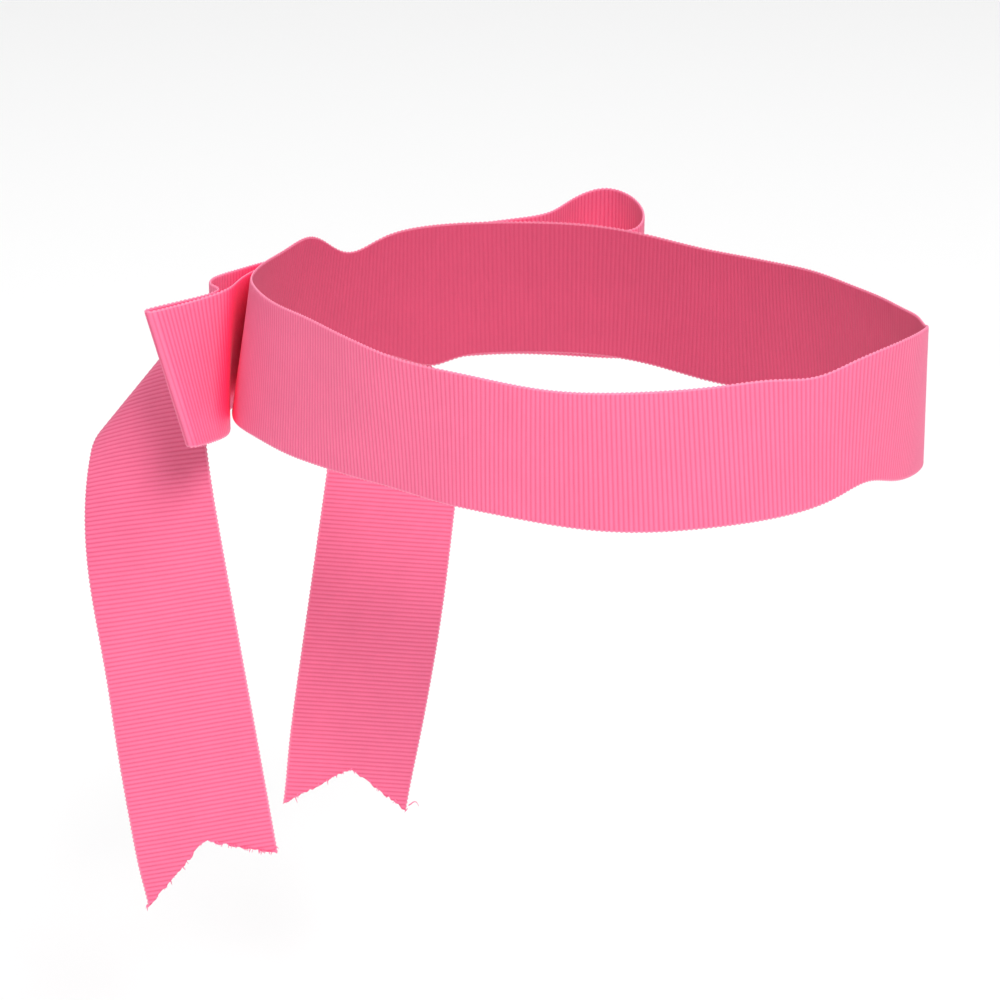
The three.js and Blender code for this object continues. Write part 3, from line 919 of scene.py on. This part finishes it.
# ---- Stage ------------------------------------------------------------------------------------
def make_camera():
    """Makes the camera; returns its directions to the right and back, away from the object."""
    azimuth, elevation = math.radians(AZIMUTH), math.radians(ELEVATION)
    away = np.array([-math.sin(azimuth), math.cos(azimuth), 0.0])
    level = math.cos(elevation)
    back = np.array([-away[0] * level, -away[1] * level, math.sin(elevation)])
    right = np.array([math.cos(azimuth), math.sin(azimuth), 0.0])
    up = np.cross(back, right)
    place = back * DISTANCE
    back = unit(place - right * AIM_RIGHT - up * AIM_UP)
    right = unit(right - back * right.dot(back))
    up = np.cross(back, right)
    data = bpy.data.cameras.new("camera")
    data.lens, data.sensor_width = LENS, SENSOR
    data.clip_start, data.clip_end = 0.05, 20
    camera = bpy.data.objects.new("camera", data)
    camera.matrix_world = Matrix([
        [right[0], up[0], back[0], place[0]],
        [right[1], up[1], back[1], place[1]],
        [right[2], up[2], back[2], place[2]],
        [0, 0, 0, 1],
    ])
    bpy.context.scene.collection.objects.link(camera)
    bpy.context.scene.camera = camera
    return right, back


def area_light(name, place, target, size, power):
    data = bpy.data.lights.new(name, "AREA")
    data.shape, data.size, data.energy = "DISK", size, power
    light = bpy.data.objects.new(name, data)
    light.location = place
    direction = Vector(target) - Vector(place)
    light.rotation_euler = direction.to_track_quat("-Z", "Y").to_euler()
    bpy.context.scene.collection.objects.link(light)


def make_stage(right, back):
    floor_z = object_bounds()[0][2] - FLOOR_DROP
    bpy.ops.mesh.primitive_plane_add(size=FLOOR_SIZE, location=(0, 0, floor_z))
    floor = bpy.context.object
    floor.name = "floor"
    floor.data.materials.append(plain_material("floor_paint", (0.93, 0.93, 0.93), 0.9))
    floor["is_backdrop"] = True
    world = bpy.data.worlds.new("studio")
    bpy.context.scene.world = world
    world.use_nodes = True
    background = world.node_tree.nodes["Background"]
    background.inputs["Color"].default_value = (1, 1, 1, 1)
    background.inputs["Strength"].default_value = WORLD_STRENGTH
    key = right * KEY_RIGHT + back * KEY_BACK + np.array([0, 0, KEY_UP])
    area_light("key", tuple(key), KEY_TARGET, KEY_SIZE, KEY_WATTS)
    behind = -back * OVERHEAD_BEHIND
    overhead = np.array([0, 0, OVERHEAD_HEIGHT]) + behind
    area_light("overhead", tuple(overhead), (behind[0], behind[1], 0), OVERHEAD_SIZE, OVERHEAD_WATTS)
    bpy.context.scene.view_settings.view_transform = "Standard"


def add_band():
    band, length = make_band()
    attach(band, "band")
    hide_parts("head_band")


def add_knot():
    wrap, length = make_wrap()
    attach(wrap, "band")
    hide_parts("knot_wrap")
    for node, shape in (("half_knot", HALF_KNOT), ("bow_heart", BOW_HEART)):
        bundle = make_bundle(f"{node}_bundle", shape)
        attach(bundle, "band")
        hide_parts(node)


def add_loop(side_name, side, stations, seed):
    loop, length = make_loop(f"{side_name}_bow_loop", stations, side, seed)
    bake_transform(loop)
    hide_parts(f"{side_name}_loop")


def add_tail(side_name, tail, seed):
    ribbon, length = make_tail(f"{side_name}_tail_ribbon", tail, seed)
    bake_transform(ribbon)
    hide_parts(f"{side_name}_tail_root", f"{side_name}_tail")
    threads = cut_threads(f"{side_name}_tail_threads", tail, seed + 10)
    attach(threads, f"{side_name}_tail_drop")


def main():
    right, back = make_camera()
    add_band()
    add_knot()
    add_loop("right", -1, RIGHT_LOOP, 51)
    add_loop("left", 1, LEFT_LOOP, 52)
    add_tail("right", RIGHT_TAIL, 61)
    add_tail("left", LEFT_TAIL, 62)
    make_stage(right, back)


main()
